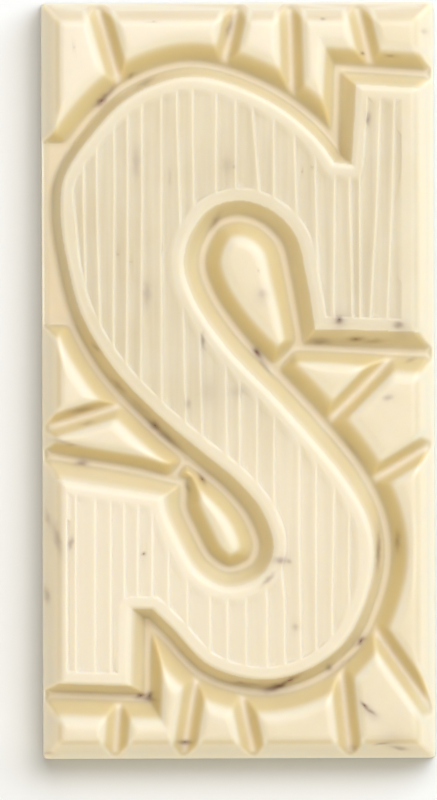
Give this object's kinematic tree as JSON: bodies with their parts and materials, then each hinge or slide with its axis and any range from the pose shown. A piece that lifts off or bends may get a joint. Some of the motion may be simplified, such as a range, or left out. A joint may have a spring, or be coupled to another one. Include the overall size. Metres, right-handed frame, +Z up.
{
  "type": "chocolate letter",
  "caption": "Moulded white chocolate bar with a large slab-serif letter S in relief, a channel round it and break grooves parting the border into blocks.",
  "frame": {"origin": "centre of the flat back of the bar, on the surface that it lies on", "axes": "+Z up out of the moulded face, +Y towards the top of the letter along the bar's long side, +X to the right of the letter as it is read"},
  "size_m": [0.078, 0.15, 0.0135],
  "materials": {
    "white_chocolate": "satin, cream, with fine dark red fruit specks"
  },
  "bodies": {
    "root": {"chocolate_bar": "white_chocolate"}
  },
  "joints": []
}
